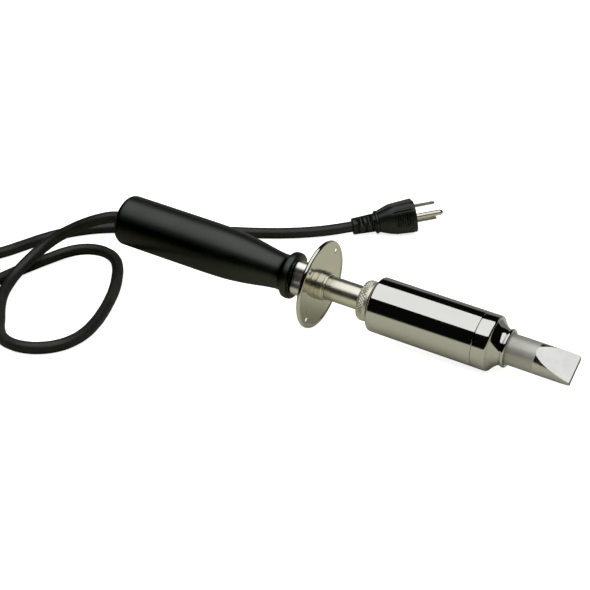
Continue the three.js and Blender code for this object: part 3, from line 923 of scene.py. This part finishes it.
def add_heater():
    bore = TIP_RADIUS + GAP
    core = [
        (CORE_REAR, bore),
        (CORE_REAR, CORE_RADIUS, 0.3),
        (CORE_FRONT, CORE_RADIUS, 0.3),
        (CORE_FRONT, bore),
        (CORE_REAR, bore),
    ]
    adopt(turned("core_pipe", core, 96), "handle_unit", "zinc_steel", "zinc_steel", "core_tube")
    on_core = CORE_RADIUS + GAP
    paper = [(72.6, on_core), (72.6, 13.5), (121.4, 13.5), (121.4, on_core), (72.6, on_core)]
    adopt(turned("winding_paper", paper, 96), "handle_unit", "mica", "mica")
    winding = helix("winding_wire", 73, 121, 13.95, 40, 0.42)
    adopt(winding, "handle_unit", "resistance_wire", "resistance_wire", "element_winding")
    sleeve = [(71, 14.9), (71, 15.6, 0.1), (123, 15.6, 0.1), (123, 14.9), (71, 14.9)]
    adopt(turned("mica_wrap", sleeve, 96), "handle_unit", "mica", "mica", "mica_sleeve")
    rear_face, rear_seat, lead_hole = 60.5, 65.5, 5
    rear = [
        (rear_face, lead_hole),
        (rear_face, INSULATOR_RADIUS, 0.8),
        (rear_seat, INSULATOR_RADIUS, 0.8),
        (rear_seat, lead_hole, 0.4),
        (rear_face, lead_hole),
    ]
    disc = turned("insulator_disc", rear, 96)
    adopt(disc, "handle_unit", "ceramic", "ceramic", "rear_insulator")
    front_seat, front_face, groove = 124.5, 130, 15.3
    front = [
        (front_seat, on_core),
        (front_seat, INSULATOR_RADIUS, 0.6),
        (126.6, INSULATOR_RADIUS, 0.3),
        (127, groove, 0.2),
        (127.6, groove, 0.2),
        (128, INSULATOR_RADIUS, 0.3),
        (front_face, INSULATOR_RADIUS, 0.8),
        (front_face, on_core),
        (front_seat, on_core),
    ]
    ring = turned("insulator_ring", front, 96)
    adopt(ring, "handle_unit", "ceramic", "ceramic", "front_insulator")


def finish_cad_nodes():
    """The sealed inner pieces keep their CAD shape and get worked materials."""
    finishes = {
        "cord_tail": "rubber",
        "cord_clamp": "zinc_steel",
        "terminal_block": "ceramic",
        "terminal_screw_1": "brass",
        "terminal_screw_2": "brass",
        "lead_live": "mica",
        "lead_neutral": "mica",
        "lead_ground": "copper",
    }
    for node, material in finishes.items():
        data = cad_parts[node].data
        data.materials.clear()
        data.materials.append(MATERIALS[material])


# ---- Plug: a moulded body with finger ribs, on a ribbed strain relief
PLUG_LENGTH = 30
PLUG_WIDE = 12.9
PLUG_BLADE_SIDE = 11.5
PLUG_GROUND_SIDE = 14.5


def plug_section():
    """A flat-topped oval: flat at the blades, round at the ground pin. Its points are
    (towards the blades, across)."""
    wide, blades, ground = PLUG_WIDE, PLUG_BLADE_SIDE, PLUG_GROUND_SIDE
    corner = wide * 0.42
    start = Vector((blades, -wide + corner))
    out = [start]

    def line(last, steps):
        first = out[-1]
        out.extend(first.lerp(last, k / steps) for k in range(1, steps + 1))

    def bend(control, last, steps):
        first = out[-1]
        for k in range(1, steps + 1):
            share = k / steps
            out.append(first.lerp(control, share).lerp(control.lerp(last, share), share))

    line(Vector((blades, wide - corner)), 16)
    bend(Vector((blades, wide)), Vector((blades - corner, wide)), 12)
    line(Vector((-ground * 0.35, wide)), 16)
    bend(Vector((-ground, wide * 0.9)), Vector((-ground, 0)), 48)
    bend(Vector((-ground, -wide * 0.9)), Vector((-ground * 0.35, -wide)), 48)
    line(Vector((blades - corner, -wide)), 16)
    bend(Vector((blades, -wide)), start, 12)
    return out[1:]


def plug_flare(along):
    """Quick at first, then slow, with the change between them rounded."""
    early = 0.62 + 0.8 * along
    late = 1 - 0.154 * (1 - along)
    crisp = 40
    return -math.log(math.exp(-crisp * early) + math.exp(-crisp * late)) / crisp


def hump(value, centre, half):
    """A smooth rise, 1 high in the middle and 0 beyond its half-width."""
    share = abs(value - centre) / half
    return 0 if share >= 1 else (1 + math.cos(math.pi * share)) / 2


def grip(angle, station):
    """How far the plug's ground side stands in or out: cross ribs in a sunk field between
    long ridges."""
    along = 1 + station / PLUG_LENGTH
    ends = max(0, min(1, (along - 0.36) * 12)) * max(0, min(1, (0.95 - along) * 14))
    field = max(0, min(1, (26 - abs(angle)) / 4))
    rib_pitch = 1.9
    rib = 0.5 - 0.5 * math.cos(2 * math.pi * station / rib_pitch)
    ridges = sum(hump(abs(angle), centre, 7) for centre in (36, 54))
    return ends * (field * (0.75 * rib - 0.6) + 0.55 * ridges)


def add_plug():
    section = plug_section()
    steps, edge = 75, 0.35
    stations = [-PLUG_LENGTH * (1 - k / steps) for k in range(steps + 1)]
    stations[-1:] = [-edge, -edge * 0.3, 0]
    bm = bmesh.new()
    rings = []
    for station in stations:
        swell = plug_flare(1 + station / PLUG_LENGTH)
        inside = edge + station
        rounding = edge - math.sqrt(edge**2 - inside**2) if inside > 0 else 0
        ring = []
        for point in section:
            y, z = point.x * swell, point.y * swell
            away = math.hypot(y, z)
            out = grip(math.degrees(math.atan2(z, -y)), station) - rounding
            scale = 1 + out / away
            ring.append(bm.verts.new((station, y * scale, z * scale)))
        rings.append(ring)
    count = len(section)
    for first, second in zip(rings, rings[1:]):
        for k in range(count):
            after = (k + 1) % count
            bm.faces.new((first[k], first[after], second[after], second[k]))
    bm.faces.new(rings[0])
    bm.faces.new(rings[-1])
    body = mesh_object("plug_moulding", bm, PLUG, 40)
    adopt(body, "handle_unit", "rubber", "plug_rubber", "plug_body")

    rear, front = -51, -30.3
    flange, flange_radius = front - 2, 9.4
    relief = [
        (rear, 0),
        (rear, 6.7, 0.5),
        (flange, 7.6, 0.3),
        (flange, flange_radius, 0.6),
        (front, flange_radius, 0.4),
        (front, 0),
    ]
    boot = turned("strain_relief_boot", relief, 96, PLUG)
    notches = []
    # Each notch's place: how far from the boot's rear end, and how far round in degrees.
    for station, side in ((6.9, 52), (13.4, 52), (3.9, 118), (10.4, 118), (16.6, 100)):
        for opposite in (0, 180):
            turn = around(side + opposite)
            place = PLUG @ turn @ Matrix.Translation((rear + station, 0, 7.4))
            notches.append(mesh_object("notch", box_mesh((0, 0, 0), (1.5, 8.5, 4)), place))
    cut_with(boot, notches)
    adopt(boot, "handle_unit", "rubber", "plug_rubber", "plug_strain_relief")

    blades = []
    blade_length, blade_width, blade_thick = 19, 6.35, 1.5
    blade_aside, blade_spread = 4.5, 6.35
    for i, side in enumerate((1, -1)):
        middle = (GAP + blade_length / 2, blade_aside, side * blade_spread)
        bm = box_mesh(middle, (blade_length, blade_width, blade_thick))
        tips = [
            edge
            for edge in bm.edges
            if all(v.co.x > blade_length for v in edge.verts)
            and abs(edge.verts[0].co.z - edge.verts[1].co.z) > 1
        ]
        bmesh.ops.bevel(bm, geom=tips, offset=1.9, segments=6, profile=0.5, affect="EDGES")
        blade = mesh_object(f"blade_{i + 1}", bm, PLUG)
        eye = Matrix.Translation((16.6, blade_aside, 0))
        place = PLUG @ eye @ Matrix.Rotation(-math.pi / 2, 4, "Y")
        hole = turned("hole", [(-12, 0), (-12, 1.5), (12, 1.5), (12, 0)], 32, place)
        cut_with(blade, [hole])
        round_edges(blade, 0.22, 2)
        blades.append(adopt(blade, "handle_unit", "brass", "brass", f"plug_blade_{i + 1}"))
    pin_radius, pin_aside = 2.38, -7.4
    rod = [(GAP, 0), (GAP, pin_radius), (20.4, pin_radius, 1.2), (22.6, 1.4, 0.8), (23, 0)]
    pin = turned("ground_pin", rod, 48, PLUG @ Matrix.Translation((0, pin_aside, 0)))
    adopt(pin, "handle_unit", "brass", "brass", "plug_ground_pin")
    return [body, boot, *blades, pin]


def add_tie():
    """A flat strap round the coil's turns."""
    half_wide, half_high, half_long = 9.75, 9.4, 3.5
    thick, corner, steps = 0.9, 3, 8
    middle_radius, middle_height = 44, 10.375
    bm = bmesh.new()
    loops = []
    for inset in (0, thick):
        loop = []
        for cx, cz, start in ((1, 1, 0), (-1, 1, 90), (-1, -1, 180), (1, -1, 270)):
            for k in range(steps + 1):
                angle = math.radians(start + 90 * k / steps)
                reach = corner - inset
                loop.append(
                    (
                        cx * (half_wide + thick - corner) + reach * math.cos(angle),
                        cz * (half_high + thick - corner) + reach * math.sin(angle),
                    )
                )
        loops.append(loop)
    outside, inside = loops
    ends = ((outside, -half_long), (outside, half_long), (inside, half_long), (inside, -half_long))
    corners = [[bm.verts.new((x, y, z)) for y, z in loop] for loop, x in ends]
    count = len(outside)
    for first, second in zip(corners, corners[1:] + corners[:1]):
        for k in range(count):
            after = (k + 1) % count
            bm.faces.new((first[k], first[after], second[after], second[k]))
    centre_x, centre_y = COIL_CENTRE
    place = Matrix.Translation((centre_x, centre_y - middle_radius, middle_height))
    strap = mesh_object("tie_strap", bm, place)
    round_edges(strap, 0.2, 2)
    return adopt(strap, "handle_unit", "rubber", "plug_rubber", "cord_tie")


add_handle()
add_bracket()
add_shield()
add_ring_nut()
add_barrel()
add_tip()
add_heater()
finish_cad_nodes()
plug_pieces = add_plug()
strap = add_tie()


# ---- Set: white floor and surroundings for the camera, an overhead softbox, a dim far wall
def white_for_camera(tree, seen, unseen, target):
    """Shows one shader to the camera and another to every other ray."""
    path = tree.nodes.new("ShaderNodeLightPath")
    mix = tree.nodes.new("ShaderNodeMixShader")
    tree.links.new(path.outputs["Is Camera Ray"], mix.inputs["Fac"])
    tree.links.new(unseen, mix.inputs[1])
    tree.links.new(seen, mix.inputs[2])
    tree.links.new(mix.outputs["Shader"], target)
    return path


def add_floor():
    data = bpy.data.meshes.new("floor")
    half = 6
    corners = [(-half, -half, 0), (half, -half, 0), (half, half, 0), (-half, half, 0)]
    data.from_pydata(corners, [], [(0, 1, 2, 3)])
    floor = bpy.data.objects.new("floor", data)
    bpy.context.scene.collection.objects.link(floor)
    material = bpy.data.materials.new("floor")
    material.use_nodes = True
    tree = material.node_tree
    tree.nodes.remove(tree.nodes["Principled BSDF"])
    output = tree.nodes["Material Output"]
    shown = tree.nodes.new("ShaderNodeBsdfDiffuse")
    shown.inputs["Color"].default_value = (0.9, 0.9, 0.9, 1)
    glow = tree.nodes.new("ShaderNodeEmission")
    glow.inputs["Strength"].default_value = 0.8
    both = tree.nodes.new("ShaderNodeAddShader")
    tree.links.new(shown.outputs[0], both.inputs[0])
    tree.links.new(glow.outputs[0], both.inputs[1])
    # What reflections see: pale paper with painted shade, dark towards the camera and to the left.
    lit = tree.nodes.new("ShaderNodeBsdfDiffuse")
    place = tree.nodes.new("ShaderNodeTexCoord")
    split = tree.nodes.new("ShaderNodeSeparateXYZ")
    camera_side_shade = tree.nodes.new("ShaderNodeMapRange")
    camera_side_shade.inputs["From Min"].default_value = -0.32
    camera_side_shade.inputs["From Max"].default_value = -0.15
    side = tree.nodes.new("ShaderNodeMapRange")
    side.inputs["From Min"].default_value = -0.12
    side.inputs["From Max"].default_value = -0.02
    side.inputs["To Min"].default_value = 0.45
    painted_shade = tree.nodes.new("ShaderNodeMath")
    painted_shade.operation = "MULTIPLY"
    # Painted shade: where the two ramps fall, the paper's colour falls to near black.
    paper = tree.nodes.new("ShaderNodeMix")
    paper.data_type = "RGBA"
    paper.inputs[6].default_value = (0.02, 0.02, 0.02, 1)
    paper.inputs[7].default_value = (0.54, 0.535, 0.43, 1)
    tree.links.new(place.outputs["Object"], split.inputs["Vector"])
    tree.links.new(split.outputs["Y"], camera_side_shade.inputs["Value"])
    tree.links.new(split.outputs["X"], side.inputs["Value"])
    tree.links.new(camera_side_shade.outputs["Result"], painted_shade.inputs[0])
    tree.links.new(side.outputs["Result"], painted_shade.inputs[1])
    tree.links.new(painted_shade.outputs[0], paper.inputs[0])
    tree.links.new(paper.outputs[2], lit.inputs["Color"])
    white_for_camera(tree, both.outputs[0], lit.outputs[0], output.inputs["Surface"])
    data.materials.append(material)


def add_world():
    world = bpy.data.worlds.new("surroundings")
    world.use_nodes = True
    bpy.context.scene.world = world
    tree = world.node_tree
    tree.nodes.clear()
    output = tree.nodes.new("ShaderNodeOutputWorld")
    strengths = {"camera": 1.0, "diffuse": 0.5, "glossy": 0.013}
    shaders = {}
    for name, strength in strengths.items():
        shaders[name] = tree.nodes.new("ShaderNodeBackground")
        shaders[name].inputs["Color"].default_value = (1, 1, 1, 1)
        shaders[name].inputs["Strength"].default_value = strength
    soft = tree.nodes.new("ShaderNodeMixShader")
    path = white_for_camera(
        tree, shaders["camera"].outputs[0], soft.outputs[0], output.inputs["Surface"]
    )
    tree.links.new(path.outputs["Is Diffuse Ray"], soft.inputs["Fac"])
    tree.links.new(shaders["glossy"].outputs[0], soft.inputs[1])
    tree.links.new(shaders["diffuse"].outputs[0], soft.inputs[2])


def add_softbox(name, centre, size, radiance, turn=(0, 0, 0), tint=(1, 1, 1)):
    data = bpy.data.lights.new(name, "AREA")
    data.shape = "RECTANGLE"
    data.size, data.size_y = size
    data.energy = radiance * math.pi * size[0] * size[1]
    data.color = tint
    light = bpy.data.objects.new(name, data)
    light.location = centre
    light.rotation_euler = turn
    light.visible_camera = False
    bpy.context.scene.collection.objects.link(light)


add_floor()
add_world()
add_softbox("overhead", (0.15, -0.24, 1.2), (2.1, 1.72), 1.2)
add_softbox("far_wall", (0, 1.7, 0.42), (3.4, 0.84), 0.21, (-math.pi / 2, 0, 0))
# The curve's black level deepens the blacks a little.
view = bpy.context.scene.view_settings
view.view_transform = "Standard"
view.use_curve_mapping = True
view.curve_mapping.black_level = (0.006, 0.006, 0.006)
view.curve_mapping.update()

bpy.context.view_layer.update()
